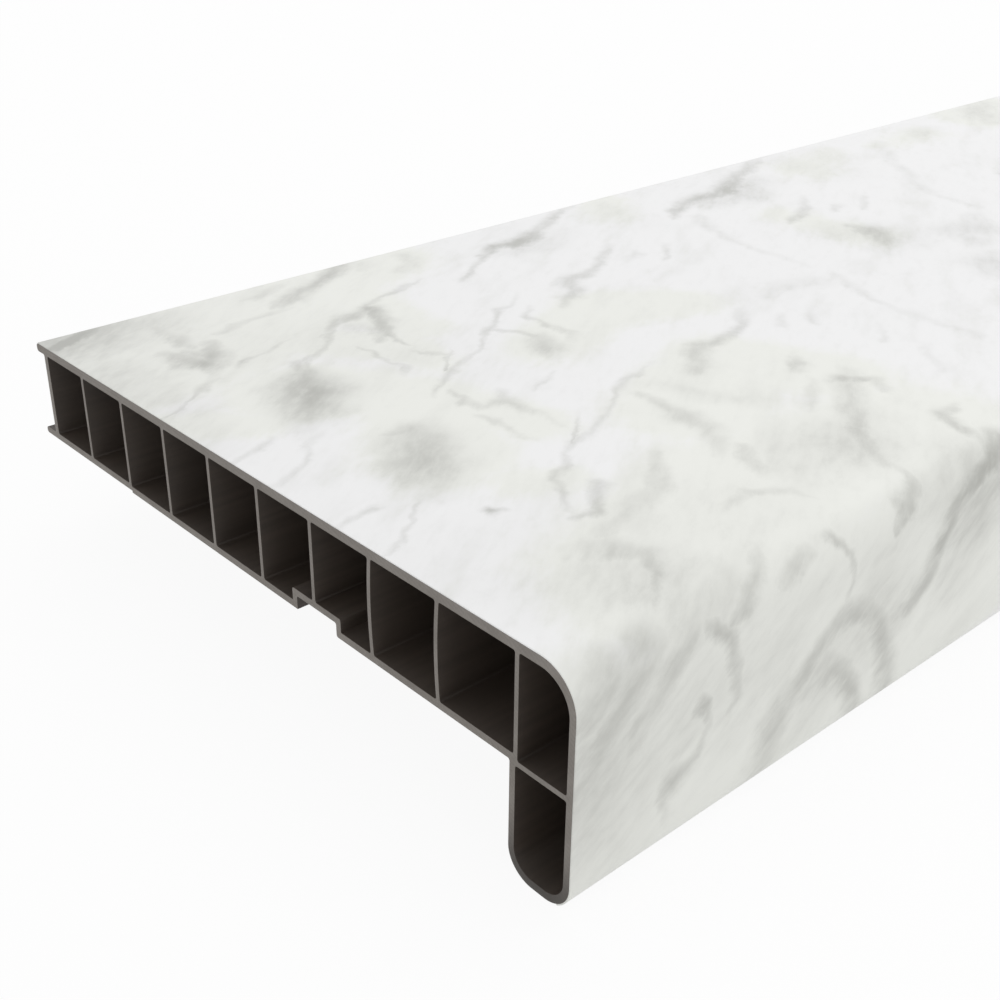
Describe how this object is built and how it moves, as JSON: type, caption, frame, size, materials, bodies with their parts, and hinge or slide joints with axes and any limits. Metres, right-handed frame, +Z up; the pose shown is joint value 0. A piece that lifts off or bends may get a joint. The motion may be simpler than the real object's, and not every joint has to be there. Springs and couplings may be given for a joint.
{
  "type": "window sill board",
  "caption": "Hollow plastic window sill board with a deep rounded nose, a marbled decor film on top and front, and chambers open at its cut ends.",
  "frame": {"origin": "middle of the board's length and depth, level with the bottom of the nose", "axes": "+X along the board, +Y from the nose at the room side to the rear edge at the window, +Z up through the top face"},
  "size_m": [1, 0.15, 0.04],
  "materials": {
    "profile": "brown extruded plastic, satin skin, with dull grey-brown sawn ends",
    "film": "white laminated film with soft grey marble veins, satin gloss"
  },
  "bodies": {
    "root": {"sill_profile": "profile", "decor_film": "film"}
  },
  "joints": []
}
